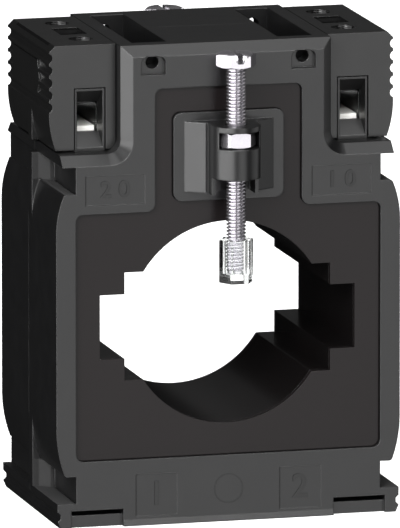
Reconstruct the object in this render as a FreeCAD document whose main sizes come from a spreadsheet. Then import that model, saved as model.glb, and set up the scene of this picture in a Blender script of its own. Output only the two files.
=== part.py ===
import FreeCAD, Part
import math
import os
import re
import Sketcher

# Window-type current transformer: a two-shell moulded case round a wound ring core,
# with a stepped opening for busbars or cable, two clamp screws and two covered terminals.
# Millimetres. X is the width, Y runs from front (-) to back (+), Z is up from the feet.

doc = FreeCAD.newDocument("current_transformer")
sheet = doc.addObject("Spreadsheet::Sheet", "Sizes")

SIZES = [
    # case outline
    ("case_width", 70.0),
    ("case_depth", 44.0),
    ("case_height", 95.5),
    ("case_wall", 1.5),
    ("front_wall", 1.6),
    ("foot_rise", 5.0),
    ("foot_inset", 0.2),
    ("foot_groove_depth", 0.6),
    ("foot_groove_low", 1.4),
    ("foot_groove_high", 3.4),
    ("foot_groove_slope", 0.6),
    ("neck_inset", 4.0),
    ("rear_neck_inset", 1.9),
    ("lower_neck_rise", 5.35),
    ("upper_neck_rise", 5.3),
    ("shoulder_inset", 1.65),
    ("lower_shoulder_rise", 9.15),
    ("upper_shoulder_rise", 8.0),
    ("shoulder_radius", 0.8),
    ("shelf_level", 74.2),
    ("shelf_thickness", 2.1),
    ("shelf_inset", 1.3),
    ("rim_depth", 2.7),
    ("rim_ramp", 2.3),
    ("ramp_step", 0.9),
    ("channel_low", 63.5),
    # raised middle of the top, with its bevel
    ("plateau_width", 42.8),
    ("bevel_rise", 2.0),
    ("bevel_depth", 2.3),
    ("bevel_corner", 2.6),
    ("pocket_inner", 11.3),
    ("pocket_width", 7.0),
    ("pocket_margin", 5.3),
    ("pocket_drop", 11.5),
    ("window_width", 4.9),
    ("window_rise", 3.65),
    ("window_drop", 5.6),
    ("window_recess", 1.2),
    ("window_corner", 1.5),
    ("window_hole", 2.6),
    ("window_shift", 0.45),
    # stepped opening
    ("bore_diameter", 40.5),
    ("bore_level", 39.8),
    ("slot_width", 51.9),
    ("slot_height", 12.9),
    ("step_width", 41.9),
    ("step_height", 21.6),
    ("liner_wall", 1.2),
    ("liner_clearance", 0.1),
    # glossy face plate in its recess
    ("recess_depth", 0.9),
    ("plate_thickness", 1.2),
    ("plate_clearance", 0.05),
    ("panel_width", 62.0),
    ("panel_low", 13.25),
    ("panel_high", 62.7),
    ("panel_top", 87.1),
    ("panel_neck_width", 29.8),
    ("panel_corner", 1.6),
    ("island_width", 22.4),
    ("island_margin", 1.8),
    # clamp screw holder
    ("holder_low", 66.3),
    ("holder_rise", 14.0),
    ("holder_width", 18.1),
    ("wing_width", 10.6),
    ("wing_depth", 2.3),
    ("boss_width", 9.6),
    ("screw_offset", 5.56),
    ("boss_rise", 10.45),
    ("rib_thickness", 0.8),
    ("rib_front", 5.1),
    ("channel_depth", 4.4),
    ("nut_slot_drop", 1.1),
    # clamp screw, nut and cap
    ("screw_diameter", 3.9),
    ("thread_fit", 0.05),
    ("screw_clearance", 0.25),
    ("hex_flats", 7.0),
    ("hex_chamfer", 0.45),
    ("nut_height", 3.2),
    ("nut_clearance", 0.05),
    ("head_height", 2.8),
    ("head_level", 91.8),
    ("screw_length", 41.1),
    ("driver_slot_width", 1.0),
    ("driver_slot_depth", 1.8),
    ("cap_flats", 6.0),
    ("cap_height", 8.5),
    ("cap_floor", 1.75),
    # ring core, its insulation and the winding
    ("ring_clearance", 0.3),
    ("winding_thickness", 0.8),
    ("insulation_thickness", 0.5),
    ("ring_gap", 0.12),
    ("core_build", 1.8),
    ("winding_opening", 8.0),
    ("lead_diameter", 1.2),
    ("lead_offset", 20.0),
    ("lead_bend", 2.0),
    ("lead_level", 70.7),
    # terminals and their covers
    ("terminal_offset", 26.75),
    ("cover_setback", 5.4),
    ("cover_gap", 0.15),
    ("cover_lift_gap", 0.4),
    ("cover_wall", 1.3),
    ("cover_corner", 1.2),
    ("cover_tuck", 1.3),
    ("tuck_rise", 7.8),
    ("ridge_pitch", 2.46),
    ("ridge_depth", 0.65),
    ("ridge_crest", 0.6),
    ("grip_length", 19.6),
    ("grip_point", 1.6),
    ("grip_shift", 2.8),
    ("entry_width", 6.4),
    ("entry_rise", 12.7),
    ("entry_gap", 0.2),
    ("driver_hole_width", 5.4),
    ("driver_hole_length", 7.9),
    ("mark_diameter", 4.8),
    ("mark_pitch", 18.8),
    ("mark_depth", 0.4),
    ("block_width", 10.0),
    ("block_rise", 15.6),
    ("block_gap", 0.2),
    ("funnel_margin", 0.4),
    ("funnel_depth", 2.6),
    ("throat_width", 4.6),
    ("throat_low", 3.6),
    ("throat_rise", 5.9),
    ("chamber_length", 26.0),
    ("chamber_gap", 0.2),
    ("seat_rise", 2.0),
    ("cage_width", 6.4),
    ("cage_length", 24.0),
    ("cage_sheet", 0.8),
    ("cage_corner", 1.0),
    ("cage_rise", 8.2),
    ("cage_roof", 1.2),
    ("bar_width", 4.0),
    ("bar_thickness", 1.6),
    ("tag_width", 2.5),
    ("tag_thickness", 0.8),
    ("pad_length", 8.0),
    ("pad_thickness", 1.0),
    ("pad_gap", 0.1),
    ("terminal_screw_diameter", 3.4),
    ("terminal_head_diameter", 6.4),
    ("terminal_head_height", 2.2),
    # places for markings
    ("tag_plate_width", 12.0),
    ("tag_plate_rise", 5.9),
    ("tag_plate_offset", 23.0),
    ("tag_plate_low", 64.35),
    ("square_width", 8.4),
    ("square_offset", 14.65),
    ("square_low", 1.8),
    ("marking_depth", 0.25),
    # feet
    ("foot_slot_inner", 21.45),
    ("foot_slot_width", 10.55),
    ("foot_slot_top", 3.5),
    ("foot_tab_rise", 2.4),
    ("foot_tab_setback", 1.0),
    ("foot_slot_depth", 12.0),
    ("base_flare", 0.4),
    ("base_flare_rise", 1.27),
]

for row, (alias, size) in enumerate(SIZES, start=1):
    sheet.set("A%d" % row, alias)
    sheet.set("B%d" % row, str(size))
    sheet.setAlias("B%d" % row, alias)
doc.recompute()

ALIASES = {alias for alias, size in SIZES}


def bound(expression):
    """The expression with each size name replaced by its cell in the sheet."""
    return re.sub(r"[a-z_]{2,}", lambda m: "Sizes." + m[0] if m[0] in ALIASES else m[0], expression)


def value(expression):
    """What an expression of size names comes to, in millimetres."""
    return float(sheet.evalExpression(bound(expression)))


def negative(expression):
    return "-(%s)" % expression


def tie(feature, prop, expression):
    feature.setExpression(prop, bound(expression))


# Outlines are loops of (x, y) expressions. A third entry, ("x" or "y", expression), makes the
# edge that ends at the point an arc with that coordinate of its centre.


def rectangle(x_low, x_high, y_low, y_high):
    return [(x_low, y_low), (x_high, y_low), (x_high, y_high), (x_low, y_high)]


def rounded(x_low, x_high, y_low, y_high, radius):
    """A rectangle with four equal round corners."""
    left, right = "%s + %s" % (x_low, radius), "%s - %s" % (x_high, radius)
    low, high = "%s + %s" % (y_low, radius), "%s - %s" % (y_high, radius)
    return [
        (left, y_low, ("x", left)),
        (right, y_low),
        (x_high, low, ("x", right)),
        (x_high, high),
        (right, y_high, ("x", right)),
        (left, y_high),
        (x_low, high, ("x", left)),
        (x_low, low),
    ]


def mirrored(points):
    """A chain of points, flipped to the other side of the vertical axis and run backwards."""
    chain = []
    arc = None
    for x, y, *centre in reversed(points):
        chain.append((negative(x), y, *([arc] if arc else [])))
        arc = None
        if centre:
            along, place = centre[0]
            arc = (along, negative(place) if along == "x" else place)
    if arc:
        chain[0] = (*chain[0][:2], arc)
    return chain


def symmetric(points):
    """A closed loop from its right-hand side, listed upwards."""
    return points + mirrored(points)


def circle(x, y, radius):
    return {"x": x, "y": y, "radius": radius}


def arc_edge(start, end, along, place):
    """The shorter arc from start to end, with one coordinate of its centre given."""
    if along == "x":
        rise = (start[0] - place) ** 2 - (end[0] - place) ** 2 + start[1] ** 2 - end[1] ** 2
        centre = FreeCAD.Vector(place, rise / (2 * (start[1] - end[1])), 0)
    else:
        run = (start[1] - place) ** 2 - (end[1] - place) ** 2 + start[0] ** 2 - end[0] ** 2
        centre = FreeCAD.Vector(run / (2 * (start[0] - end[0])), place, 0)
    first = math.atan2(start[1] - centre.y, start[0] - centre.x)
    last = math.atan2(end[1] - centre.y, end[0] - centre.x)
    forward = (last - first) % (2 * math.pi) < math.pi
    radius = math.hypot(start[0] - centre.x, start[1] - centre.y)
    round_line = Part.Circle(centre, FreeCAD.Vector(0, 0, 1), radius)
    if forward:
        return Part.ArcOfCircle(round_line, first, last), forward
    return Part.ArcOfCircle(round_line, last, first), forward


def pin(sketch, edge, end, x=None, y=None):
    """Holds one end (or the centre) of an edge at its expressions."""
    for kind, expression in (("DistanceX", x), ("DistanceY", y)):
        if expression is not None:
            rule = Sketcher.Constraint(kind, -1, 1, edge, end, value(expression))
            number = sketch.addConstraint(rule)
            tie(sketch, "Constraints[%d]" % number, expression)


def draw(sketch, loop):
    """Adds a closed loop, every corner of it bound to the sheet."""
    if isinstance(loop, dict):
        place = FreeCAD.Vector(value(loop["x"]), value(loop["y"]), 0)
        ring = Part.Circle(place, FreeCAD.Vector(0, 0, 1), value(loop["radius"]))
        edge = sketch.addGeometry(ring, False)
        pin(sketch, edge, 3, loop["x"], loop["y"])
        number = sketch.addConstraint(Sketcher.Constraint("Radius", edge, ring.Radius))
        tie(sketch, "Constraints[%d]" % number, loop["radius"])
        return
    corners = [(value(point[0]), value(point[1])) for point in loop]
    ends = []
    for index, point in enumerate(loop):
        start, end = corners[index - 1], corners[index]
        if len(point) == 3:
            along, place = point[2]
            curve, forward = arc_edge(start, end, along, value(place))
            edge = sketch.addGeometry(curve, False)
            pin(sketch, edge, 3, **{along: place})
            ends.append((edge, 1, 2) if forward else (edge, 2, 1))
        else:
            line = Part.LineSegment(FreeCAD.Vector(*start, 0), FreeCAD.Vector(*end, 0))
            ends.append((sketch.addGeometry(line, False), 1, 2))
    for index, (edge, first, last) in enumerate(ends):
        following, follow_first, follow_last = ends[(index + 1) % len(ends)]
        sketch.addConstraint(Sketcher.Constraint("Coincident", edge, last, following, follow_first))
        pin(sketch, edge, last, loop[index][0], loop[index][1])


def outline(body, plane, level, loops):
    """A sketch on one of the body's own planes, at a level along that plane's axis."""
    sketch = body.newObject("Sketcher::SketchObject", "Outline")
    role = {"X": "YZ_Plane", "Y": "XZ_Plane", "Z": "XY_Plane"}[plane]
    support = [part for part in body.Origin.OriginFeatures if part.Role == role][0]
    sketch.AttachmentSupport = (support, [""])
    sketch.MapMode = "FlatFace"
    tie(sketch, "AttachmentOffset.Base.z", negative(level) if plane == "Y" else level)
    for loop in loops:
        draw(sketch, loop)
    sketch.recompute()
    return sketch


def add(body, plane, low, high, *loops):
    """Material between two levels along X, Y or Z."""
    level = high if plane == "Y" else low
    pad = body.newObject("PartDesign::Pad", "Pad")
    pad.Profile = outline(body, plane, level, loops)
    tie(pad, "Length", "%s - (%s)" % (high, low))
    pad.recompute()
    return pad


def cut(body, plane, low, high, *loops):
    """Takes material away between two levels along X, Y or Z."""
    before = body.Tip.Shape.Volume
    level = low if plane == "Y" else high
    pocket = body.newObject("PartDesign::Pocket", "Pocket")
    pocket.Profile = outline(body, plane, level, loops)
    tie(pocket, "Length", "%s - (%s)" % (high, low))
    pocket.recompute()
    if pocket.Shape.Volume > before - 1e-6:
        raise RuntimeError("%s: a pocket along %s from %s to %s misses" % (body.Label, plane, low, high))
    return pocket


def new_body(label):
    body = doc.addObject("PartDesign::Body", label)
    body.Label = label
    return body


def edges_where(feature, test):
    """The names of a feature's edges whose end points all pass the test."""
    return [
        "Edge%d" % number
        for number, edge in enumerate(feature.Shape.Edges, start=1)
        if all(test(vertex.Point) for vertex in edge.Vertexes)
    ]


# Levels and half widths that several pieces share.
HALF_WIDTH = "case_width / 2"
LOWER_LEDGE = "foot_rise + lower_neck_rise"
SHELF_BOTTOM = "shelf_level - shelf_thickness"
UPPER_LEDGE = "shelf_level - shelf_thickness - upper_neck_rise"
HALF_PLATEAU = "plateau_width / 2"
HOLDER_TOP = "holder_low + holder_rise"
SEAT_DEPTH = "recess_depth + plate_thickness"
WINDOW_OFFSET = "pocket_inner + pocket_width / 2 + window_shift"
NUT_TOP = "holder_low + holder_rise - nut_slot_drop - nut_clearance"
SCREW_Y = "case_depth / 2 + screw_offset"
CAVITY_RADIUS = "case_width / 2 - case_wall"
SEAT_LEVEL = "shelf_level + seat_rise"


def depths(side, near, far):
    """The Y levels of two depths behind a shell's own outer face."""
    if side == "front":
        return "-case_depth / 2 + %s" % near, "-case_depth / 2 + %s" % far
    return "case_depth / 2 - (%s)" % far, "case_depth / 2 - (%s)" % near


def plan(side, loop):
    """A plan outline given as (x, depth) from the shell's outer face, for sketches seen from above."""
    front = side == "front"
    start = "-case_depth / 2 + (%s)" if front else "case_depth / 2 - (%s)"
    if isinstance(loop, dict):
        return circle(loop["x"], start % loop["y"], loop["radius"])
    return [
        (x, start % depth, *[(along, place if along == "x" else start % place) for along, place in centre])
        for x, depth, *centre in loop
    ]


def pair(loop):
    """A loop on the right and the same loop on the left."""
    if isinstance(loop, dict):
        return [loop, circle(negative(loop["x"]), loop["y"], loop["radius"])]
    return [loop, mirrored(loop)]


def stepped_opening(grow):
    """The opening's outline: a round bore, a wide flat slot and a narrower, taller one."""
    step_x, step_z = "step_width / 2 + %s" % grow, "(step_height / 2 + %s)" % grow
    slot_x, slot_z = "slot_width / 2 + %s" % grow, "(slot_height / 2 + %s)" % grow
    meet = "sqrt((bore_diameter / 2 + %s) ^ 2 - %s ^ 2)" % (grow, step_z)
    low, high = "bore_level - " + step_z, "bore_level + " + step_z
    slot_low, slot_high = "bore_level - " + slot_z, "bore_level + " + slot_z
    right = [
        (meet, low, ("y", "bore_level")),
        (step_x, low),
        (step_x, slot_low),
        (slot_x, slot_low),
        (slot_x, slot_high),
        (step_x, slot_high),
        (step_x, high),
        (meet, high),
    ]
    return symmetric(right)


def panel(shrink):
    """The T-shaped outline of the glossy face plate and of its recess."""
    wide = "panel_width / 2 - %s" % shrink
    slim = "panel_neck_width / 2 - %s" % shrink
    low, high = "panel_low + %s" % shrink, "panel_high - %s" % shrink
    top = "panel_top - %s" % shrink
    corner, inner = wide + " - panel_corner", slim + " + panel_corner"
    return symmetric(
        [
            (corner, low),
            (wide, low + " + panel_corner", ("x", corner)),
            (wide, high + " - panel_corner"),
            (corner, high, ("x", corner)),
            (inner, high),
            (slim, high + " + panel_corner", ("x", inner)),
            (slim, top + " - panel_corner"),
            (slim + " - panel_corner", top, ("x", slim + " - panel_corner")),
        ]
    )


def island(grow):
    """The raised field round the screw holder, in the upper part of the recess."""
    half = "island_width / 2 + %s" % grow
    low = "holder_low - island_margin - %s" % grow
    high = "holder_low + holder_rise + island_margin + %s" % grow
    return rounded(negative(half), half, low, high, "panel_corner")


def case_outline(neck):
    """The case seen from the front: feet, necks, bulging sides, shelf and raised middle."""
    foot = "case_width / 2 - foot_inset"
    groove = foot + " - foot_groove_depth"
    waist = "case_width / 2 - " + neck
    shoulder = "case_width / 2 - shoulder_inset"
    low_turn = LOWER_LEDGE + " + lower_shoulder_rise"
    high_turn = UPPER_LEDGE + " - upper_shoulder_rise"
    return symmetric(
        [
            (groove, "0"),
            (foot, "foot_groove_low"),
            (groove, "foot_groove_low + foot_groove_slope"),
            (groove, "foot_groove_high - foot_groove_slope"),
            (foot, "foot_groove_high"),
            (foot, "foot_rise"),
            (waist, "foot_rise"),
            (waist, LOWER_LEDGE),
            (shoulder, LOWER_LEDGE),
            (HALF_WIDTH, low_turn, ("y", low_turn)),
            (HALF_WIDTH, high_turn),
            (shoulder, UPPER_LEDGE, ("y", high_turn)),
            (waist, UPPER_LEDGE),
            (waist, SHELF_BOTTOM),
            ("case_width / 2 - shelf_inset", SHELF_BOTTOM),
            ("case_width / 2 - shelf_inset", "shelf_level"),
            (HALF_PLATEAU + " + bevel_corner", "shelf_level"),
            (HALF_PLATEAU, "shelf_level + bevel_corner", ("x", HALF_PLATEAU + " + bevel_corner")),
            (HALF_PLATEAU, "case_height"),
        ]
    )


def bevel_top(body, side):
    """The broad bevel round the raised middle and along the shelves, on the outer face."""
    face = value("-case_depth / 2" if side == "front" else "case_depth / 2")
    shelf = value("shelf_level")
    blank = body.Tip
    edges = edges_where(blank, lambda p: abs(p.y - face) < 1e-4 and p.z > shelf - 1e-4)
    chamfer = body.newObject("PartDesign::Chamfer", "Bevel")
    chamfer.Base = (blank, edges)
    chamfer.ChamferType = "Two distances"
    chamfer.FlipDirection = True
    tie(chamfer, "Size", "bevel_rise")
    tie(chamfer, "Size2", "bevel_depth")
    chamfer.recompute()


def round_shoulders(body):
    """Rounds the points of the bulging sides above the lower and below the upper neck."""
    shoulder = value("case_width / 2 - shoulder_inset")
    levels = [value(LOWER_LEDGE), value(UPPER_LEDGE)]
    blank = body.Tip
    edges = edges_where(
        blank,
        lambda p: abs(abs(p.x) - shoulder) < 1e-4 and min(abs(p.z - level) for level in levels) < 1e-4,
    )
    fillet = body.newObject("PartDesign::Fillet", "Shoulders")
    fillet.Base = (blank, edges)
    tie(fillet, "Radius", "shoulder_radius")
    fillet.recompute()


def add_rim(body):
    """The flange at the parting plane and the ramped catches that stand in the necks."""
    loop = rectangle(negative(HALF_WIDTH), HALF_WIDTH, "foot_rise", SHELF_BOTTOM)
    low, high = depths("front", "case_depth / 2 - rim_depth", "case_depth / 2")
    add(body, "Y", low, high, loop)
    rim = "case_depth / 2 - rim_depth"
    waist = "case_width / 2 - neck_inset"
    catch = [
        (waist + " - case_wall / 2", rim + " - rim_ramp"),
        (waist + " + ramp_step", rim + " - rim_ramp"),
        ("case_width / 2 - shelf_inset", rim),
        (waist + " - case_wall / 2", rim),
    ]
    for bottom, top in (("foot_rise", LOWER_LEDGE), (UPPER_LEDGE, SHELF_BOTTOM)):
        add(body, "Z", bottom, top, *pair(plan("front", catch)))


def add_holder(body, side):
    """The block that carries a clamp screw: wings, half-round boss, two ribs and the nut slot."""
    half = "boss_width / 2"
    right = [
        ("holder_width / 2", "case_wall"),
        ("holder_width / 2", "0"),
        ("wing_width / 2", "-wing_depth"),
        (half, "-wing_depth"),
        (half, "-screw_offset"),
        ("0", "-screw_offset - boss_width / 2", ("y", "-screw_offset")),
    ]
    left = mirrored(right)[1:]
    add(body, "Z", "holder_low", HOLDER_TOP, plan(side, right + left))
    boss_low = HOLDER_TOP + " - boss_rise"
    tip = "-screw_offset - boss_width"
    ribs_cut = rectangle(negative(half), half, tip, "-rib_front")
    cut(body, "Z", "holder_low", boss_low, plan(side, ribs_cut))
    gap = half + " - rib_thickness"
    channel = rectangle(negative(gap), gap, tip, "-screw_offset + channel_depth")
    cut(body, "Z", "holder_low", boss_low, plan(side, channel))
    bore = circle("0", "-screw_offset", "screw_diameter / 2 + screw_clearance")
    cut(body, "Z", "holder_low", HOLDER_TOP, plan(side, bore))
    corner = "hex_flats / sqrt(3) + nut_clearance"
    back = "-screw_offset + hex_flats / 2 + nut_clearance"
    slot = rectangle(negative(corner), corner, tip, back)
    slot_top = HOLDER_TOP + " - nut_slot_drop"
    cut(body, "Z", slot_top + " - nut_height - 2 * nut_clearance", slot_top, plan(side, slot))


def cut_markings(body, side):
    """Shallow fields for the terminal and direction numbers."""
    tag = rectangle(
        "tag_plate_offset - tag_plate_width / 2",
        "tag_plate_offset + tag_plate_width / 2",
        "tag_plate_low",
        "tag_plate_low + tag_plate_rise",
    )
    square = rectangle(
        "square_offset - square_width / 2",
        "square_offset + square_width / 2",
        "square_low",
        "square_low + square_width",
    )
    cut(body, "Y", *depths(side, "0", "marking_depth"), *pair(tag), *pair(square))


def cut_feet(body, side):
    """The mounting slots over a set-back tab at each end of the foot."""
    inner = "foot_slot_inner"
    outer = "foot_slot_inner + foot_slot_width"
    mouth = rectangle(inner, outer, "0", "foot_slot_top")
    cut(body, "Y", *depths(side, "0", "foot_tab_setback"), *pair(mouth))
    slot = rectangle(inner, outer, "foot_tab_rise", "foot_slot_top")
    cut(body, "Y", *depths(side, "0", "foot_slot_depth"), *pair(slot))


def cut_top(body, side):
    """Square corners under the covers, two deep bracket slots, a window and hole into each."""
    corner = rectangle(
        HALF_PLATEAU,
        HALF_PLATEAU + " + bevel_corner",
        "shelf_level",
        "shelf_level + bevel_corner",
    )
    cut(body, "Y", *depths(side, "cover_setback - cover_gap", "case_depth / 2"), *pair(corner))
    slot = rectangle(
        "pocket_inner",
        "pocket_inner + pocket_width",
        "pocket_margin",
        "case_depth / 2",
    )
    floor = "case_height - pocket_drop"
    cut(body, "Z", floor, "case_height", *pair(plan(side, slot)))
    left = WINDOW_OFFSET + " - window_width / 2"
    right = WINDOW_OFFSET + " + window_width / 2"
    low = "case_height - window_drop"
    high = low + " + window_rise"
    window = [
        (left, low),
        (right, low),
        (right, high + " - window_corner"),
        (right + " - window_corner", high, ("x", right + " - window_corner")),
        (left + " + window_corner", high),
        (left, high + " - window_corner", ("x", left + " + window_corner")),
    ]
    cut(body, "Y", *depths(side, "0", "window_recess"), *pair(window))
    hole = circle(WINDOW_OFFSET, high + " - window_hole / 2", "window_hole / 2")
    cut(body, "Y", *depths(side, "0", "pocket_margin"), *pair(hole))


def cut_inside(body, side):
    """The opening, ring chamber, lead channel and hollow top, and the terminals' slotted seats."""
    mid = "case_depth / 2"
    chamber_front = SEAT_DEPTH + " + front_wall"
    cut(body, "Y", *depths(side, "0", mid), stepped_opening("(liner_wall + liner_clearance)"))
    cut(body, "Y", *depths(side, chamber_front, mid), circle("0", "bore_level", CAVITY_RADIUS))
    waist = "case_width / 2 - neck_inset - case_wall"
    channel = rectangle(negative(waist), waist, "channel_low", "shelf_level - case_wall")
    cut(body, "Y", *depths(side, "pocket_margin + case_wall", mid), channel)
    side_wall = "pocket_inner - case_wall"
    top = "case_height - case_wall"
    hollow = rectangle(negative(side_wall), side_wall, "channel_low", top)
    cut(body, "Y", *depths(side, "pocket_margin + case_wall", mid), hollow)
    seat = rectangle(
        "terminal_offset - cage_width / 2",
        "terminal_offset + cage_width / 2",
        mid + " - cage_length / 2",
        mid,
    )
    add(body, "Z", "shelf_level", SEAT_LEVEL, *pair(plan(side, seat)))
    half = "tag_width / 2 + block_gap"
    slot = rectangle(
        "terminal_offset - (%s)" % half,
        "terminal_offset + %s" % half,
        mid + " - tag_thickness / 2 - block_gap",
        mid,
    )
    low = "shelf_level - case_wall"
    cut(body, "Z", low, SEAT_LEVEL, *pair(plan(side, slot)))


def case_shell(side):
    """One half of the moulded case, from its outer face to the parting plane."""
    body = new_body("case_" + side)
    neck = "neck_inset" if side == "front" else "rear_neck_inset"
    add(body, "Y", *depths(side, "0", "case_depth / 2"), case_outline(neck))
    bevel_top(body, side)
    if side == "front":
        round_shoulders(body)
        add_rim(body)
    flare = [("0", "0"), ("-base_flare", "0"), ("0", "base_flare_rise")]
    start = "-case_depth / 2 + %s" if side == "front" else "case_depth / 2 - (%s)"
    flare = [(start % depth, rise) for depth, rise in flare]
    add(body, "X", negative(HALF_PLATEAU), HALF_PLATEAU, flare)
    face = depths(side, "0", SEAT_DEPTH)
    cut(body, "Y", *face, panel("0"), island("0"))
    cut_inside(body, side)
    cut_top(body, side)
    cut_feet(body, side)
    cut_markings(body, side)
    add_holder(body, side)
    return body


def face_plate(side):
    """The glossy plate in the front or rear recess, round the opening and the holder's field."""
    body = new_body("face_plate_" + side)
    levels = depths(side, "recess_depth", SEAT_DEPTH)
    outer = panel("plate_clearance")
    add(body, "Y", *levels, outer, stepped_opening("0"), island("plate_clearance"))
    return body


def bore_liner():
    """The stepped insulating tube that the conductor passes through."""
    body = new_body("bore_liner")
    reach = "(case_depth / 2 - %s)" % SEAT_DEPTH.replace(" + ", " - ")
    add(body, "Y", negative(reach), reach, stepped_opening("liner_wall"), stepped_opening("0"))
    return body


# Radii of the nested rings, from the chamber's wall inwards.
WINDING_OUTER = CAVITY_RADIUS + " - ring_clearance"
SLEEVE_OUTER = WINDING_OUTER + " - winding_thickness - ring_gap"
CORE_OUTER = SLEEVE_OUTER + " - insulation_thickness - ring_gap"
CORE_INNER = CORE_OUTER + " - core_build"
SLEEVE_INNER = CORE_INNER + " - insulation_thickness - ring_gap"
WINDING_INNER = SLEEVE_INNER + " - winding_thickness - ring_gap"
WINDING_END = "case_depth / 2 - recess_depth - plate_thickness - front_wall - ring_clearance"
SLEEVE_END = WINDING_END + " - winding_thickness - ring_gap"
CORE_END = SLEEVE_END + " - insulation_thickness - ring_gap"


def ring(radius):
    return circle("0", "bore_level", radius)


def wound_core():
    """The ring of wound steel strip."""
    body = new_body("core")
    add(body, "Y", negative(CORE_END), CORE_END, ring(CORE_OUTER), ring(CORE_INNER))
    return body


def insulation(side):
    """One of the two cups that close round the core from the front and from the back."""
    body = new_body("insulation_" + side)
    low, high = negative(SLEEVE_END), "0"
    room = negative(CORE_END + " + ring_gap")
    if side == "rear":
        low, high = "0", SLEEVE_END
    add(body, "Y", low, high, ring(SLEEVE_OUTER), ring(SLEEVE_INNER))
    inside = (room, high) if side == "front" else (low, CORE_END + " + ring_gap")
    cut(body, "Y", *inside, ring(CORE_OUTER + " + ring_gap"), ring(CORE_INNER + " - ring_gap"))
    return body


def secondary_winding():
    """The winding laid round core and cups, with the gap between its first and last turn."""
    body = new_body("secondary_winding")
    end = WINDING_END
    add(body, "Y", negative(end), end, ring(WINDING_OUTER), ring(WINDING_INNER))
    room = SLEEVE_END + " + ring_gap"
    outer, inner = ring(SLEEVE_OUTER + " + ring_gap"), ring(SLEEVE_INNER + " - ring_gap")
    half = "winding_opening / 2"
    opening = rectangle(negative(half), half, "bore_level", "bore_level + case_width / 2")
    cut(body, "Y", negative(end), end, opening)
    cut(body, "Y", negative(room), room, outer, inner)
    return body


def hexagon(flats, middle_y):
    """A hexagon about a point of the Y axis, with two flats facing front and back."""
    radius, half, apothem = "%s / sqrt(3)" % flats, "%s / sqrt(3) / 2" % flats, "%s / 2" % flats
    corners = [(radius, "0"), (half, apothem), (negative(half), apothem), (negative(radius), "0")]
    corners += [(negative(half), negative(apothem)), (half, negative(apothem))]
    return [(x, "%s + %s" % (middle_y, y)) for x, y in corners]


def screw_axis(side):
    """The Y coordinate of a clamp screw's axis."""
    return negative(SCREW_Y) if side == "front" else SCREW_Y


def chamfer_hexagon(body, axis, low, high):
    """Turns the corners off both ends of a hexagonal blank of the nut's size."""
    radius = "hex_flats / sqrt(3)"
    inner = "hex_flats / 2 - hex_chamfer / 2"
    far = radius + " + hex_chamfer"
    rise = "(%s - (%s)) / 2" % (far, inner)
    for level, sign in ((low, "+"), (high, "-")):
        triangle = [
            (inner, level),
            (far, level),
            (far, "%s %s %s" % (level, sign, rise)),
        ]
        sketch = outline(body, "Y", axis, [triangle])
        groove = body.newObject("PartDesign::Groove", "Turned")
        groove.Profile = sketch
        groove.ReferenceAxis = (sketch, ["V_Axis"])
        groove.Angle = 360
        groove.recompute()


def clamp_nut(side):
    """The hexagon nut held in the slot of the holder."""
    body = new_body("clamp_nut_" + side)
    axis = screw_axis(side)
    low, high = NUT_TOP + " - nut_height", NUT_TOP
    add(body, "Z", low, high, hexagon("hex_flats", axis))
    chamfer_hexagon(body, axis, low, high)
    cut(body, "Z", low, high, circle("0", axis, "screw_diameter / 2 + thread_fit"))
    return body


def clamp_screw(side):
    """The long clamp screw: slotted hexagon head and plain shank."""
    body = new_body("clamp_screw_" + side)
    axis = screw_axis(side)
    low, high = "head_level", "head_level + head_height"
    add(body, "Z", low, high, hexagon("hex_flats", axis))
    chamfer_hexagon(body, axis, low, high)
    add(body, "Z", "head_level - screw_length", "head_level", circle("0", axis, "screw_diameter / 2"))
    slot = rectangle(
        "-driver_slot_width / 2",
        "driver_slot_width / 2",
        axis + " - hex_flats",
        axis + " + hex_flats",
    )
    cut(body, "Z", high + " - driver_slot_depth", high, slot)
    return body


def screw_cap(side):
    """The clear hexagonal cap that shields the conductor from the end of the screw."""
    body = new_body("screw_cap_" + side)
    axis = screw_axis(side)
    tip = "head_level - screw_length"
    low = tip + " - cap_floor"
    high = low + " + cap_height"
    add(body, "Z", low, high, hexagon("cap_flats", axis))
    bore = "screw_diameter / 2 + thread_fit"
    cut(body, "Z", tip, high, circle("0", axis, bore))
    return body


COVER_INNER = "plateau_width / 2 + cover_gap"
COVER_LOW = "shelf_level + cover_lift_gap"
COVER_FRONT = "(case_depth / 2 - cover_setback)"
ENTRY_TOP = "shelf_level + entry_rise"


def on_side(hand, loop):
    """A loop drawn for the right-hand side, or its mirror image for the left."""
    if isinstance(loop, dict):
        return loop if hand == "right" else circle(negative(loop["x"]), loop["y"], loop["radius"])
    return loop if hand == "right" else mirrored(loop)


def cover_outline():
    """The cover seen from the front: tucked-in foot, ridged grip side and bevelled top corner."""
    ridge_low = "shelf_level + tuck_rise"
    crest = "ridge_crest / 2"
    chord = "(ridge_pitch / 2 - ridge_crest / 2)"
    centre = "case_width / 2 - ridge_depth + (%s ^ 2 + ridge_depth ^ 2) / (2 * ridge_depth)" % chord
    count = int((value("case_height - cover_corner / 2") - value(ridge_low)) / value("ridge_pitch"))
    points = [
        (COVER_INNER, COVER_LOW),
        ("case_width / 2 - cover_tuck", COVER_LOW),
        (HALF_WIDTH, ridge_low + " - " + crest, ("y", ridge_low + " - " + crest)),
    ]
    for number in range(count):
        points.append((HALF_WIDTH, "%s + %s * ridge_pitch + %s" % (ridge_low, number, crest)))
        step = "%s + %s * ridge_pitch - %s" % (ridge_low, number + 1, crest)
        points.append((HALF_WIDTH, step, ("x", centre)))
    points.append((HALF_WIDTH, "case_height - cover_corner"))
    points.append(("case_width / 2 - cover_corner", "case_height"))
    points.append((COVER_INNER, "case_height"))
    return points


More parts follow.
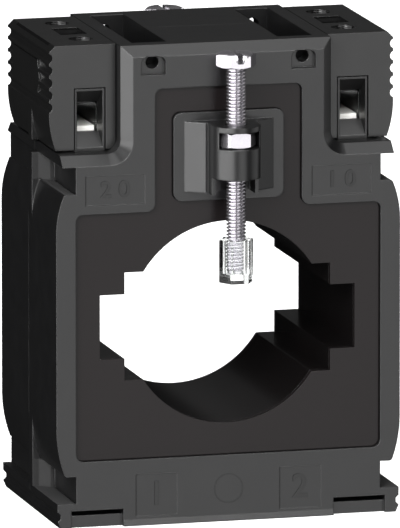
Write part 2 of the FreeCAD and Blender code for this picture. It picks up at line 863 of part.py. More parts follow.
def terminal_cover(hand):
    """The lift-off cover over a terminal: ridged side, driver hole and wire entries."""
    body = new_body("terminal_cover_" + hand)
    front = COVER_FRONT
    add(body, "Y", negative(front), front, on_side(hand, cover_outline()))
    outer = "case_width / 2 - cover_wall - ridge_depth"
    end = front + " - cover_wall"
    top = "case_height - cover_wall"
    room = rectangle(COVER_INNER, outer, COVER_LOW, top)
    cut(body, "Y", negative(end), end, on_side(hand, room))
    left = "terminal_offset - entry_width / 2"
    right = "terminal_offset + entry_width / 2"
    entry = rectangle(left, right, COVER_LOW, ENTRY_TOP)
    cut(body, "Y", negative(front), front, on_side(hand, entry))
    half_x, half_y = "driver_hole_width / 2", "driver_hole_length / 2"
    hole = rectangle(
        "terminal_offset - " + half_x,
        "terminal_offset + " + half_x,
        negative(half_y),
        half_y,
    )
    cut(body, "Z", top, "case_height", on_side(hand, hole))
    marks = [circle("terminal_offset", "mark_pitch / 2", "mark_diameter / 2")]
    marks.append(circle("terminal_offset", "-mark_pitch / 2", "mark_diameter / 2"))
    marks = [on_side(hand, mark) for mark in marks]
    cut(body, "Z", "case_height - mark_depth", "case_height", *marks)
    low = "shelf_level + tuck_rise + ridge_pitch"
    high = low + " + 3 * ridge_pitch - ridge_crest"
    back, tip = "grip_length / 2 + grip_shift", "-grip_length / 2 + grip_shift"
    grip = [
        (back, low),
        (back, high),
        (tip, high),
        (tip + " - grip_point", low + " + (3 * ridge_pitch - ridge_crest) / 2"),
        (tip, low),
    ]
    inside, face = outer, HALF_WIDTH
    if hand == "left":
        inside, face = negative(HALF_WIDTH), negative(outer)
    add(body, "X", inside, face, grip)
    rib = rectangle(negative("rim_depth"), "0", COVER_LOW, "shelf_level + tuck_rise")
    add(body, "X", inside, face, rib)
    return body


BLOCK_TOP = "shelf_level + block_rise"
BLOCK_SIDE = "plateau_width / 2 + block_gap"
BLOCK_END = "(case_depth / 2 - cover_setback - cover_wall - block_gap)"
CAGE_TOP = "shelf_level + seat_rise + cage_rise"
BAR_TOP = "shelf_level + seat_rise + cage_sheet + bar_thickness"
PAD_TOP = "shelf_level + seat_rise + cage_rise - cage_roof - pad_gap"
PAD_TRAVEL = "%s - pad_thickness - pad_gap - (%s)" % (PAD_TOP, BAR_TOP)
WELL_FLOOR = CAGE_TOP + " + chamber_gap + cover_wall"
HEAD_LOW = "%s + %s" % (WELL_FLOOR, PAD_TRAVEL)


def funnel(body, hand, side):
    """The tapered wire entry: a loft from the wide mouth to the throat."""
    mouth_y, throat_y = depths(side, "cover_setback + entry_gap", "cover_setback + funnel_depth")
    if side == "rear":
        mouth_y, throat_y = throat_y, mouth_y
    wide = "entry_width / 2 - entry_gap - funnel_margin"
    mouth = rectangle(
        "terminal_offset - (%s)" % wide,
        "terminal_offset + %s" % wide,
        "shelf_level + 2 * funnel_margin",
        ENTRY_TOP + " - entry_gap - funnel_margin",
    )
    throat = rectangle(
        "terminal_offset - throat_width / 2",
        "terminal_offset + throat_width / 2",
        "shelf_level + throat_low",
        "shelf_level + throat_low + throat_rise",
    )
    first = outline(body, "Y", mouth_y, [on_side(hand, mouth)])
    last = outline(body, "Y", throat_y, [on_side(hand, throat)])
    loft = body.newObject("PartDesign::SubtractiveLoft", "Funnel")
    loft.Profile = first
    loft.Sections = [last]
    loft.Ruled = True
    loft.recompute()
    low, high = depths(side, "cover_setback + funnel_depth", "case_depth / 2 - chamber_length / 2")
    cut(body, "Y", low, high, on_side(hand, throat))


def terminal_block(hand):
    """The insulating block in a cover: wire funnels front and back, chamber and screw well."""
    body = new_body("terminal_block_" + hand)
    side = rectangle(BLOCK_SIDE, BLOCK_SIDE + " + block_width", "shelf_level", BLOCK_TOP)
    add(body, "Y", negative(BLOCK_END), BLOCK_END, on_side(hand, side))
    half = "(entry_width / 2 - entry_gap)"
    nose = rectangle(
        "terminal_offset - " + half,
        "terminal_offset + " + half,
        "shelf_level",
        ENTRY_TOP + " - entry_gap",
    )
    reach = "(case_depth / 2 - cover_setback - entry_gap)"
    add(body, "Y", negative(reach), reach, on_side(hand, nose))
    half_x, half_y = "(cage_width / 2 + chamber_gap)", "chamber_length / 2"
    chamber = rectangle(
        "terminal_offset - " + half_x,
        "terminal_offset + " + half_x,
        negative(half_y),
        half_y,
    )
    chamber_top = CAGE_TOP + " + chamber_gap"
    cut(body, "Z", "shelf_level", chamber_top, on_side(hand, chamber))
    hole = circle("terminal_offset", "0", "terminal_screw_diameter / 2 + screw_clearance")
    cut(body, "Z", chamber_top, BLOCK_TOP, on_side(hand, hole))
    well = circle("terminal_offset", "0", "terminal_head_diameter / 2 + screw_clearance")
    cut(body, "Z", WELL_FLOOR, BLOCK_TOP, on_side(hand, well))
    for end in ("front", "rear"):
        funnel(body, hand, end)
    return body


def tag_slot(gap):
    """The outline of the bar's tag seen from above, or of the hole that it passes through."""
    half_x, half_y = "(tag_width / 2 + %s)" % gap, "(tag_thickness / 2 + %s)" % gap
    left, right = "terminal_offset - " + half_x, "terminal_offset + " + half_x
    return rectangle(left, right, negative(half_y), half_y)


def cage(hand):
    """The folded metal cage round bar and wire, with a hole tapped in its roof for the screw."""
    body = new_body("cage_" + hand)
    left, right = "terminal_offset - cage_width / 2", "terminal_offset + cage_width / 2"
    outer = rounded(left, right, SEAT_LEVEL, CAGE_TOP, "cage_corner")
    inner = rounded(
        left + " + cage_sheet",
        right + " - cage_sheet",
        SEAT_LEVEL + " + cage_sheet",
        CAGE_TOP + " - cage_roof",
        "cage_sheet / 2",
    )
    end = "cage_length / 2"
    add(body, "Y", negative(end), end, on_side(hand, outer), on_side(hand, inner))
    hole = circle("terminal_offset", "0", "terminal_screw_diameter / 2 + thread_fit")
    cut(body, "Z", CAGE_TOP + " - cage_roof", CAGE_TOP, on_side(hand, hole))
    floor = SEAT_LEVEL + " + cage_sheet"
    cut(body, "Z", SEAT_LEVEL, floor, on_side(hand, tag_slot("block_gap")))
    return body


def terminal_bar(hand):
    """The flat bar on the cage's floor and its tag, which reaches down into the lead channel."""
    body = new_body("terminal_bar_" + hand)
    left, right = "terminal_offset - bar_width / 2", "terminal_offset + bar_width / 2"
    end = "cage_length / 2"
    flat = rectangle(left, right, BAR_TOP + " - bar_thickness", BAR_TOP)
    add(body, "Y", negative(end), end, on_side(hand, flat))
    low, high = "lead_level - lead_diameter", BAR_TOP + " - bar_thickness"
    add(body, "Z", low, high, on_side(hand, tag_slot("0")))
    return body


def pressure_pad(hand):
    """The loose plate on the end of a terminal screw that presses the wire down."""
    body = new_body("pressure_pad_" + hand)
    left, right = "terminal_offset - bar_width / 2", "terminal_offset + bar_width / 2"
    plate = rectangle(left, right, "-pad_length / 2", "pad_length / 2")
    add(body, "Z", PAD_TOP + " - pad_thickness", PAD_TOP, on_side(hand, plate))
    return body


def terminal_screw(hand):
    """The slotted cheese-head screw of a terminal."""
    body = new_body("terminal_screw_" + hand)
    head_top = HEAD_LOW + " + terminal_head_height"
    head = circle("terminal_offset", "0", "terminal_head_diameter / 2")
    add(body, "Z", HEAD_LOW, head_top, on_side(hand, head))
    shank = circle("terminal_offset", "0", "terminal_screw_diameter / 2")
    add(body, "Z", PAD_TOP, HEAD_LOW, on_side(hand, shank))
    half = "driver_slot_width / 2"
    slot = rectangle(
        "terminal_offset - " + half,
        "terminal_offset + " + half,
        "-terminal_head_diameter",
        "terminal_head_diameter",
    )
    cut(body, "Z", head_top + " - terminal_head_height / 2", head_top, on_side(hand, slot))
    return body


def lead(hand):
    """The end of the winding, from the ring up and over to the terminal's tag."""
    body = new_body("lead_" + hand)
    near = "(lead_offset - lead_diameter / 2)"
    start = "bore_level + sqrt((%s) ^ 2 - %s ^ 2) + ring_gap" % (WINDING_OUTER, near)
    end = "terminal_offset - tag_width / 2"
    path = body.newObject("Sketcher::SketchObject", "Route")
    support = [part for part in body.Origin.OriginFeatures if part.Role == "XZ_Plane"][0]
    path.AttachmentSupport = (support, [""])
    path.MapMode = "FlatFace"
    sign = "" if hand == "right" else "-"
    corners = [
        (sign + "lead_offset", start),
        (sign + "lead_offset", "lead_level - lead_bend"),
        (sign + "(lead_offset + lead_bend)", "lead_level"),
        (sign + "(%s)" % end, "lead_level"),
    ]
    places = [FreeCAD.Vector(value(x), value(z), 0) for x, z in corners]
    path.addGeometry(Part.LineSegment(places[0], places[1]), False)
    bend, forward = arc_edge(
        (places[1].x, places[1].y),
        (places[2].x, places[2].y),
        "x",
        places[2].x,
    )
    path.addGeometry(bend, False)
    path.addGeometry(Part.LineSegment(places[2], places[3]), False)
    bend_start, bend_end = (1, 2) if forward else (2, 1)
    path.addConstraint(Sketcher.Constraint("Coincident", 0, 2, 1, bend_start))
    path.addConstraint(Sketcher.Constraint("Coincident", 1, bend_end, 2, 1))
    pin(path, 0, 1, *corners[0])
    pin(path, 0, 2, *corners[1])
    pin(path, 2, 1, *corners[2])
    pin(path, 2, 2, *corners[3])
    pin(path, 1, 3, corners[2][0])
    path.recompute()
    section = circle(sign + "lead_offset", "0", "lead_diameter / 2")
    pipe = body.newObject("PartDesign::AdditivePipe", "Wire")
    pipe.Profile = outline(body, "Z", start, [section])
    pipe.Spine = (path, [""])
    pipe.recompute()
    return body


bodies = [case_shell("front"), case_shell("rear")]
bodies += [face_plate("front"), face_plate("rear"), bore_liner(), wound_core()]
bodies += [insulation("front"), insulation("rear"), secondary_winding()]
for end in ("front", "rear"):
    bodies += [clamp_nut(end), clamp_screw(end), screw_cap(end)]
for hand in ("left", "right"):
    bodies += [terminal_cover(hand), terminal_block(hand), cage(hand), terminal_bar(hand)]
    bodies += [pressure_pad(hand), terminal_screw(hand), lead(hand)]

doc.recompute()
for item in doc.Objects:
    if "Invalid" in item.State or "Error" in item.State:
        raise RuntimeError("%s in %s failed: %s" % (item.Name, item.Label, item.getStatusString()))
for body in bodies:
    if body.Shape.isNull() or not body.Shape.isValid() or len(body.Shape.Solids) != 1:
        raise RuntimeError("%s isn't one valid solid" % body.Label)

os.makedirs("parts", exist_ok=True)
for body in bodies:
    body.Shape.exportStep("parts/%s.step" % body.Label)
    print("%-24s %9.1f mm3" % (body.Label, body.Shape.Volume))
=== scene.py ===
import math

import bmesh
import bpy
from mathutils import Matrix, Vector


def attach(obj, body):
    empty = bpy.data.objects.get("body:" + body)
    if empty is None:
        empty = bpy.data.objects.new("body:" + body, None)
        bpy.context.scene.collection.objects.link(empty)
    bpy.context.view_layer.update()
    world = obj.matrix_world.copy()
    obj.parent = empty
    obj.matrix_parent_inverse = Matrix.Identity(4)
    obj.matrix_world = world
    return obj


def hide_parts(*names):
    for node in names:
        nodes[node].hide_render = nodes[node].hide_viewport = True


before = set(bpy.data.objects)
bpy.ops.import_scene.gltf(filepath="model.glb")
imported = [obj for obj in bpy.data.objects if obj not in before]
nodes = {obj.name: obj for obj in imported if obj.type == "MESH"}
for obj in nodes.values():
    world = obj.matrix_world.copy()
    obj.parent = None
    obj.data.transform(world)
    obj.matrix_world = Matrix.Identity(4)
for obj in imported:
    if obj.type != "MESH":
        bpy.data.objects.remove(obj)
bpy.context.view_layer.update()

# The setting: a white sweep under and behind the transformer, seen from a little left of its
# front and slightly above, with a long lens so that its upright edges stay parallel.
AIM = Vector((0.0, 0.0, 0.0475))
VIEW_DISTANCE = 2.906
LENS_LENGTH = 1000
VIEW_TURN = math.radians(-14.9)
VIEW_RISE = math.radians(10.6)
camera_data = bpy.data.cameras.new("camera")
camera_data.lens = LENS_LENGTH
camera_data.clip_start = 0.1
camera_data.clip_end = 20
camera = bpy.data.objects.new("camera", camera_data)
bpy.context.scene.collection.objects.link(camera)
towards = Vector(
    (
        math.sin(VIEW_TURN) * math.cos(VIEW_RISE),
        -math.cos(VIEW_TURN) * math.cos(VIEW_RISE),
        math.sin(VIEW_RISE),
    )
)
camera.location = AIM + towards * VIEW_DISTANCE
camera.rotation_euler = towards.to_track_quat("Z", "Y").to_euler()
bpy.context.scene.camera = camera
bpy.context.scene.view_settings.view_transform = "Standard"


def softbox(name, turn, rise, distance, width, height, power):
    """A diffused panel light that faces the transformer from a turn and rise in degrees."""
    light = bpy.data.lights.new(name, "AREA")
    light.shape = "RECTANGLE"
    light.size, light.size_y = width, height
    light.energy = power
    lamp = bpy.data.objects.new(name, light)
    bpy.context.scene.collection.objects.link(lamp)
    a, e = math.radians(turn), math.radians(rise)
    place = Vector((math.sin(a) * math.cos(e), -math.cos(a) * math.cos(e), math.sin(e)))
    lamp.location = AIM + place * distance
    lamp.rotation_euler = place.to_track_quat("Z", "Y").to_euler()
    return lamp


softbox("side_light", -82, 0, 1.1, 0.9, 0.7, 9.2)
softbox("corner_light", -42, 0, 1.3, 0.9, 0.7, 10.5)
softbox("key_light", -40, 33, 1.5, 0.8, 0.5, 36.0)
softbox("front_light", 15, -7, 2.3, 1.4, 1.0, 9.2)
softbox("edge_light", 15, 32, 1.5, 1.2, 0.15, 14.0)
softbox("top_light", 0, 88, 1.3, 1.0, 2.4, 17.0)
softbox("under_light", 10, -70, 1.2, 0.9, 0.7, 8.0)
softbox("back_light", 168, 14, 1.6, 0.8, 0.4, 0.06)
softbox("right_light", 90, 0, 1.4, 1.5, 0.8, 3.0)
softbox("rear_light", 150, -14, 1.6, 0.9, 0.4, 5.0)

ROOM_STRENGTH = 0.006
world = bpy.data.worlds.new("room")
world.use_nodes = True
room = world.node_tree
room_light = room.nodes["Background"]
room_light.inputs["Color"].default_value = (0.9, 0.92, 0.95, 1)
room_light.inputs["Strength"].default_value = ROOM_STRENGTH
backdrop_light = room.nodes.new("ShaderNodeBackground")
backdrop_light.inputs["Color"].default_value = (1, 1, 1, 1)
seen = room.nodes.new("ShaderNodeLightPath")
choose = room.nodes.new("ShaderNodeMixShader")
through = room.nodes.new("ShaderNodeMath")
through.operation = "MAXIMUM"
room.links.new(seen.outputs["Is Camera Ray"], through.inputs[0])
room.links.new(seen.outputs["Is Transmission Ray"], through.inputs[1])
room.links.new(through.outputs[0], choose.inputs["Fac"])
room.links.new(room_light.outputs["Background"], choose.inputs[1])
room.links.new(backdrop_light.outputs["Background"], choose.inputs[2])
room.links.new(choose.outputs["Shader"], room.nodes["World Output"].inputs["Surface"])
bpy.context.scene.world = world


class Value:
    """A number or colour on its way through a finish; arithmetic on it adds Math nodes."""

    def __init__(self, finish, socket):
        self.finish = finish
        self.socket = socket

    def math(self, operation, first, second=0.0):
        return self.finish.node("ShaderNodeMath", {"operation": operation}, {0: first, 1: second})

    def __add__(self, other):
        return self.math("ADD", self, other)

    def __radd__(self, other):
        return self.math("ADD", other, self)

    def __sub__(self, other):
        return self.math("SUBTRACT", self, other)

    def __rsub__(self, other):
        return self.math("SUBTRACT", other, self)

    def __mul__(self, other):
        return self.math("MULTIPLY", self, other)

    def __rmul__(self, other):
        return self.math("MULTIPLY", other, self)


class Finish:
    """One material of the transformer, with its shader and whatever varies over its surface."""

    def __init__(self, name, colour, roughness, **constants):
        self.material = bpy.data.materials.new(name)
        self.material.use_nodes = True
        self.material.diffuse_color = (*colour, 1)
        self.tree = self.material.node_tree
        self.shader = self.tree.nodes["Principled BSDF"]
        self.feed(self.shader, "Base Color", (*colour, 1))
        self.feed(self.shader, "Roughness", roughness)
        for socket, amount in constants.items():
            self.feed(self.shader, socket.replace("_", " "), amount)

    def feed(self, node, socket, amount):
        if isinstance(amount, Value):
            self.tree.links.new(amount.socket, node.inputs[socket])
        else:
            node.inputs[socket].default_value = amount

    def node(self, kind, settings=None, sockets=None, output=0):
        """Adds a node, sets its options first and its sockets after, and returns an output."""
        made = self.tree.nodes.new(kind)
        for option, choice in (settings or {}).items():
            setattr(made, option, choice)
        for socket, amount in (sockets or {}).items():
            self.feed(made, socket, amount)
        return Value(self, made.outputs[output])

    def grain(self, size, detail=3.0):
        """Cloudy variation between 0 and 1 with patches of a size in metres."""
        place = self.node("ShaderNodeTexCoord", output="Object")
        sockets = {"Vector": place, "Scale": 1 / size, "Detail": detail}
        return self.node("ShaderNodeTexNoise", None, sockets)

    def along(self, axis):
        """Place on the piece along one axis, in metres."""
        place = self.node("ShaderNodeTexCoord", output="Object")
        return self.node("ShaderNodeSeparateXYZ", None, {"Vector": place}, output=axis)

    def tint(self, mask, low, high):
        """A colour between two, by a mask."""
        settings = {"data_type": "RGBA"}
        sockets = {0: mask, 6: (*low, 1), 7: (*high, 1)}
        return self.node("ShaderNodeMix", settings, sockets, output=2)

    def relief(self, height, depth, edge):
        """Fine relief of a depth in metres on top of edges rounded to a radius."""
        soft = self.node("ShaderNodeBevel", {"samples": 4}, {"Radius": edge})
        sockets = {"Strength": 1.0, "Distance": depth, "Height": height, "Normal": soft}
        self.feed(self.shader, "Normal", self.node("ShaderNodeBump", None, sockets))

    def on(self, *pieces):
        """Gives the finish to finished pieces."""
        for piece in pieces:
            piece.data.materials.clear()
            piece.data.materials.append(self.material)


FLOOR_RADIUS = 9.0
FLOOR_DROP = 0.0001
floor_mesh = bmesh.new()
bmesh.ops.create_circle(floor_mesh, cap_ends=True, segments=64, radius=FLOOR_RADIUS)
bmesh.ops.translate(floor_mesh, verts=floor_mesh.verts, vec=(0, 0, -FLOOR_DROP))
floor_data = bpy.data.meshes.new("floor")
floor_mesh.to_mesh(floor_data)
floor_mesh.free()
floor = bpy.data.objects.new("floor", floor_data)
bpy.context.scene.collection.objects.link(floor)
floor.visible_glossy = False
floor.visible_shadow = False
floor.visible_diffuse = False
paper = Finish("white_paper", (0.6, 0.6, 0.6), 0.9, Emission_Strength=0.8)
paper.feed(paper.shader, "Emission Color", (1, 1, 1, 1))
paper.on(floor)

# The case: two glass-filled polyamide half shells, moulded in black with a fine spark-eroded
# skin, that close over the ring core and snap together at the parting plane. The ramped catches
# that stand in the necks of the front half are coarser.
case_black = Finish("case_black", (0.006, 0.006, 0.006), 0.34, IOR=1.55)
mottle = case_black.grain(0.004)
skin = case_black.grain(0.00022, 2.0)
shade = case_black.tint(mottle, (0.0025, 0.0025, 0.0026), (0.0038, 0.0038, 0.004))
case_black.feed(case_black.shader, "Base Color", shade)
NECK_MIDDLE = 0.03855
NECK_START, NECK_END, NECK_WAIST = 0.02815, 0.0336, 0.0313
RIM_Y = -0.00265
outward = case_black.along("X")
outward = outward.math("ABSOLUTE", outward)
depth = case_black.along("Y")
away = case_black.along("Z") - NECK_MIDDLE
away = away.math("ABSOLUTE", away)
started = away.math("GREATER_THAN", away, NECK_START)
in_neck = started * away.math("LESS_THAN", away, NECK_END)
before_rim = depth.math("LESS_THAN", depth, RIM_Y)
on_catch = in_neck * before_rim * outward.math("GREATER_THAN", outward, NECK_WAIST)
case_black.feed(case_black.shader, "Roughness", 0.3 + 0.06 * mottle + 0.5 * on_catch)
case_black.relief(skin, 0.000008, 0.0003)
case_black.on(nodes["case_front"], nodes["case_rear"])

# The face plates: thin dark plates with a soft gloss, moulded flat and pressed into the recess
# round the opening, front and back.
gloss = Finish("face_gloss", (0.0063, 0.005, 0.0051), 0.3, IOR=1.2, Coat_Weight=0.3, Coat_IOR=1.35)
gloss.feed(gloss.shader, "Coat Roughness", 0.05)
ripple = gloss.grain(0.02, 1.0)
gloss.feed(gloss.shader, "Roughness", 0.26 + 0.08 * ripple)
gloss.relief(ripple, 0.00002, 0.0002)
gloss.on(nodes["face_plate_front"], nodes["face_plate_rear"])

# The liner: a moulded tube with two stepped slots, which insulates the bar or cable and holds
# the ring core. It is caught between the two half shells.
liner_dark = Finish("liner_dark", (0.0028, 0.0022, 0.0022), 0.3, IOR=1.6)
drag = liner_dark.grain(0.0015, 2.0)
liner_dark.feed(liner_dark.shader, "Roughness", 0.18 + 0.1 * drag)
liner_dark.relief(drag, 0.00001, 0.0002)
liner_dark.on(nodes["bore_liner"])

# The terminals' covers and blocks: small mouldings in the case's own black. A cover slides down
# over its block; its top chamfer and the two sunk marks beside the driver hole are left glossy.
cover_black = Finish("cover_black", (0.0032, 0.0032, 0.0032), 0.34, IOR=1.55)
cover_skin = cover_black.grain(0.00022, 2.0)
MARK_FLOOR, MARK_RIM, MARK_REACH = 0.09505, 0.09549, 0.0128
height = cover_black.along("Z")
reach = cover_black.along("Y")
reach = reach.math("ABSOLUTE", reach)
sunk = height.math("LESS_THAN", height, MARK_RIM) * height.math("GREATER_THAN", height, MARK_FLOOR)
glossy = sunk * reach.math("LESS_THAN", reach, MARK_REACH)
polish = 0.3 + 0.06 * cover_black.grain(0.003)
cover_black.feed(cover_black.shader, "Roughness", polish - 0.24 * glossy)
cover_black.relief(cover_skin, 0.000006, 0.0002)
for hand in ("left", "right"):
    cover_black.on(nodes["terminal_cover_" + hand], nodes["terminal_block_" + hand])

# The clamp screws: long M4 machine screws with a slotted hexagon head, zinc plated. The thread
# is rolled from the head down to the turned point that presses on the conductor, and runs
# through a nut that lies in the holder's slot.
zinc = Finish("bright_zinc", (0.55, 0.54, 0.57), 0.3, Metallic=0.92)
plating = zinc.grain(0.0012)
zinc.feed(zinc.shader, "Base Color", zinc.tint(plating, (0.46, 0.44, 0.48), (0.56, 0.545, 0.57)))
zinc.feed(zinc.shader, "Roughness", 0.2 + 0.06 * plating)
SCREW_Y = 0.02756
HEAD_LEVEL = 0.0918
POINT_LEVEL = 0.0507
POINT_LENGTH = 0.0009
POINT_CHAMFER = 0.0008
OVERLAP = 0.0005
HEAD_SKIN = 0.00005
MERGE = 1e-6
PITCH = 0.0007
CREST, ROOT = 0.00195, 0.0015
TURN_STEPS = 24


def finished(name, mesh, angle=32):
    """Turns a bmesh into a piece, smooth except across edges sharper than an angle in degrees."""
    bmesh.ops.recalc_face_normals(mesh, faces=mesh.faces)
    data = bpy.data.meshes.new(name)
    mesh.to_mesh(data)
    mesh.free()
    data.polygons.foreach_set("use_smooth", [True] * len(data.polygons))
    data.set_sharp_from_angle(angle=math.radians(angle))
    piece = bpy.data.objects.new(name, data)
    bpy.context.scene.collection.objects.link(piece)
    return piece


def trim(mesh, level, keep):
    """Cuts a mesh square at a level, keeps what is above or below, and closes the cut."""
    geometry = list(mesh.verts) + list(mesh.edges) + list(mesh.faces)
    cut = bmesh.ops.bisect_plane(
        mesh,
        geom=geometry,
        plane_co=(0, 0, level),
        plane_no=(0, 0, 1),
        clear_inner=keep == "above",
        clear_outer=keep == "below",
    )
    rim = [item for item in cut["geom_cut"] if isinstance(item, bmesh.types.BMEdge)]
    bmesh.ops.holes_fill(mesh, edges=rim, sides=0)


def rolled_thread(bottom, top):
    """A threaded shank on the Z axis, from a turned point at the bottom to the head."""
    mesh = bmesh.new()
    profile = [(ROOT, 0.04), (CREST, 0.40), (CREST, 0.60), (ROOT, 0.96), (ROOT, 1.04)]
    start = bottom - 2 * PITCH
    corners = [mesh.verts.new((radius, 0, start + part * PITCH)) for radius, part in profile]
    line = [mesh.edges.new(ends) for ends in zip(corners, corners[1:])]
    turns = math.ceil((top - bottom) / PITCH) + 3
    bmesh.ops.spin(
        mesh,
        geom=corners + line,
        cent=(0, 0, 0),
        axis=(0, 0, 1),
        dvec=(0, 0, PITCH / TURN_STEPS),
        angle=2 * math.pi * turns,
        steps=TURN_STEPS * turns,
    )
    bmesh.ops.remove_doubles(mesh, verts=mesh.verts, dist=MERGE)
    trim(mesh, bottom, "above")
    trim(mesh, top, "below")
    for vert in mesh.verts:
        slack = (bottom + POINT_LENGTH - vert.co.z) / POINT_LENGTH
        if slack > 0:
            limit = CREST - POINT_CHAMFER * slack
            reach = math.hypot(vert.co.x, vert.co.y)
            if reach > limit:
                vert.co.x *= limit / reach
                vert.co.y *= limit / reach
    return mesh


for side, way in (("front", -1), ("rear", 1)):
    zinc.on(nodes["clamp_nut_" + side])
    thread = rolled_thread(POINT_LEVEL, HEAD_LEVEL + OVERLAP)
    bmesh.ops.translate(thread, verts=thread.verts, vec=(0, way * SCREW_Y, 0))
    shank = bpy.data.meshes.new("shank")
    thread.to_mesh(shank)
    thread.free()
    screw = bmesh.new()
    screw.from_mesh(nodes["clamp_screw_" + side].data)
    bmesh.ops.remove_doubles(screw, verts=screw.verts, dist=MERGE)
    trim(screw, HEAD_LEVEL + HEAD_SKIN, "above")
    screw.from_mesh(shank)
    piece = finished("threaded_screw_" + side, screw, 20)
    zinc.on(piece)
    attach(piece, side + "_screw")
    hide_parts("clamp_screw_" + side)

# The terminal screws: short steel screws with a slotted round head, turned, rolled and
# blackened. They sit in the blocks' wells, deep under the covers' driver holes.
blackened = Finish("blackened_steel", (0.02, 0.02, 0.02), 0.4, Metallic=0.6)
oxide = blackened.grain(0.0006)
blackened.feed(blackened.shader, "Roughness", 0.35 + 0.15 * oxide)
blackened.relief(oxide, 0.000002, 0.0001)
for hand in ("left", "right"):
    blackened.on(nodes["terminal_screw_" + hand])

# The caps: clear moulded hexagons pushed over the screws' points, which keep metal off the
# conductor's insulation. The blind bore ends in a drill-shaped cone.
clear = Finish("clear_cap", (0.96, 0.98, 0.97), 0.04, IOR=1.49)
clear.feed(clear.shader, "Transmission Weight", 1.0)
for side in ("front", "rear"):
    clear.on(nodes["screw_cap_" + side])

# The terminals: a tinned brass bar in a folded and plated steel cage, with a loose plate that
# the screw presses on the wire. Above its own level the cage's roof is painted near black, as
# painted shade for the dark inside of the terminal.
ROOF_LEVEL = 0.0831
tinned = Finish("tinned_brass", (0.93, 0.92, 0.88), 0.4, Metallic=0.05)
tin = tinned.grain(0.0008)
tinned.feed(tinned.shader, "Roughness", 0.35 + 0.15 * tin)
tinned.relief(tin, 0.000003, 0.0001)
plated = Finish("plated_cage", (0.6, 0.6, 0.6), 0.25, Metallic=1.0)
# Painted shade: the base colour drops from mid grey to near black above the roof's level.
level = plated.along("Z")
roof_painted_shade = level.math("GREATER_THAN", level, ROOF_LEVEL)
plated.feed(plated.shader, "Base Color", plated.tint(roof_painted_shade, (0.3, 0.3, 0.3), (0.02, 0.02, 0.02)))
rolled = plated.grain(0.001)
plated.feed(plated.shader, "Roughness", 0.2 + 0.1 * rolled)
plated.relief(rolled, 0.000003, 0.0001)
for hand in ("left", "right"):
    tinned.on(nodes["terminal_bar_" + hand], nodes["pressure_pad_" + hand])
    plated.on(nodes["cage_" + hand])

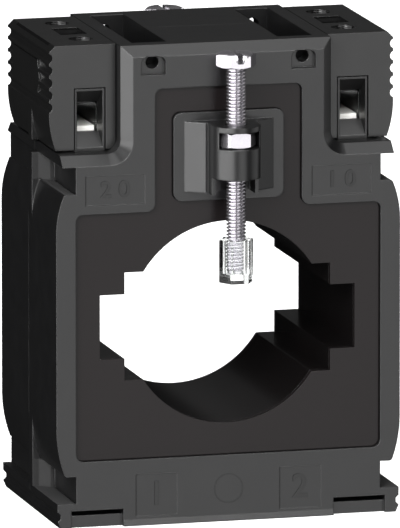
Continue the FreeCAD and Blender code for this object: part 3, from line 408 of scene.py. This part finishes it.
# The numbers: plain raised figures in the shallow fields by the terminals and at the foot, and
# a bare raised ring between them, moulded with the case on both faces. The tool's engraving is
# coarser than its skin, so they look duller.
figure_black = Finish("case_figures", (0.003, 0.003, 0.003), 0.7, IOR=1.55)
engraving = figure_black.grain(0.0003, 2.0)
figure_black.feed(figure_black.shader, "Roughness", 0.68 + 0.1 * engraving)
figure_black.relief(engraving, 0.000008, 0.00008)
FIGURES = (
    ("20", -0.0230, 0.0673, 0.0046),
    ("10", 0.0230, 0.0673, 0.0046),
    ("1", -0.01465, 0.0060, 0.0068),
    ("2", 0.01465, 0.0060, 0.0068),
)
FIELD_Y = 0.02175
FIGURE_RISE = 0.00024
STROKE_GAIN = 0.00008
RING_Y, RING_LEVEL = 0.02195, 0.0065
RING_MIDDLE, RING_HALF, RING_RISE = 0.002875, 0.000125, 0.00015
RING_SEARCH = 0.0002
for side, way in (("front", -1), ("rear", 1)):
    face = Matrix.Rotation(math.radians(90), 4, "X")
    if side == "rear":
        face = Matrix.Rotation(math.radians(180), 4, "Z") @ face
    raised = bmesh.new()
    for figure, x, z, size in FIGURES:
        letter = bpy.data.curves.new("figure", "FONT")
        letter.body = figure
        letter.size = size
        letter.space_character = 1.6
        letter.align_x = "CENTER"
        letter.align_y = "CENTER"
        letter.extrude = FIGURE_RISE
        letter.offset = STROKE_GAIN
        shape = bpy.data.objects.new("figure", letter)
        bpy.context.scene.collection.objects.link(shape)
        bpy.context.view_layer.update()
        outline = bpy.data.meshes.new_from_object(shape)
        bpy.data.objects.remove(shape)
        outline.transform(Matrix.Translation((-way * x, way * FIELD_Y, z)) @ face)
        raised.from_mesh(outline)
    section = (
        (RING_MIDDLE - RING_HALF, 0.0),
        (RING_MIDDLE - RING_HALF, RING_RISE),
        (RING_MIDDLE + RING_HALF, RING_RISE),
        (RING_MIDDLE + RING_HALF, 0.0),
    )
    band = [raised.verts.new((radius, -depth, 0)) for radius, depth in section]
    loop = [raised.edges.new((band[i], band[(i + 1) % 4])) for i in range(4)]
    bmesh.ops.spin(
        raised,
        geom=band + loop,
        cent=(0, 0, 0),
        axis=(0, 1, 0),
        dvec=(0, 0, 0),
        angle=2 * math.pi,
        steps=48,
        use_merge=True,
    )
    ring = [
        vert
        for vert in raised.verts
        if abs(math.hypot(vert.co.x, vert.co.z) - RING_MIDDLE) < RING_SEARCH
        and abs(vert.co.y) < RING_SEARCH
    ]
    if side == "rear":
        half_turn = Matrix.Rotation(math.pi, 3, "Z")
        bmesh.ops.rotate(raised, verts=ring, cent=(0, 0, 0), matrix=half_turn)
    bmesh.ops.translate(raised, verts=ring, vec=(0, way * RING_Y, RING_LEVEL))
    figures = finished("figures_" + side, raised)
    figure_black.on(figures)
    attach(figures, "housing")

# Inside the case: the wound strip core, its two insulating cups, the enamelled copper winding
# and the two leads. The strip's layers and the winding's turns show as close ribs.
BORE_LEVEL = 0.0398
LAYER_WAVE = 20000.0
TURN_WAVE = 260.0


def about_bore(finish):
    """Angle round the opening's axis, and distance from it, in radians and metres."""
    x = finish.along("X")
    z = finish.along("Z") - BORE_LEVEL
    angle = x.math("ARCTAN2", x, z)
    reach = x.math("SQRT", x * x + z * z)
    return angle, reach


steel = Finish("core_steel", (0.33, 0.34, 0.36), 0.35, Metallic=1.0)
angle, reach = about_bore(steel)
steel.relief(reach.math("SINE", reach * LAYER_WAVE), 0.00002, 0.0001)
steel.on(nodes["core"])
card = Finish("insulation", (0.55, 0.5, 0.42), 0.6)
card.relief(card.grain(0.0006), 0.00001, 0.0002)
card.on(nodes["insulation_front"], nodes["insulation_rear"])
copper = Finish("enamelled_copper", (0.5, 0.17, 0.06), 0.3, Metallic=1.0)
angle, reach = about_bore(copper)
copper.relief(angle.math("SINE", angle * TURN_WAVE), 0.00025, 0.0001)
copper.on(nodes["secondary_winding"])
wire = Finish("enamelled_wire", (0.5, 0.17, 0.06), 0.3, Metallic=1.0)
wire.relief(wire.grain(0.0005), 0.00001, 0.0001)
wire.on(nodes["lead_left"], nodes["lead_right"])
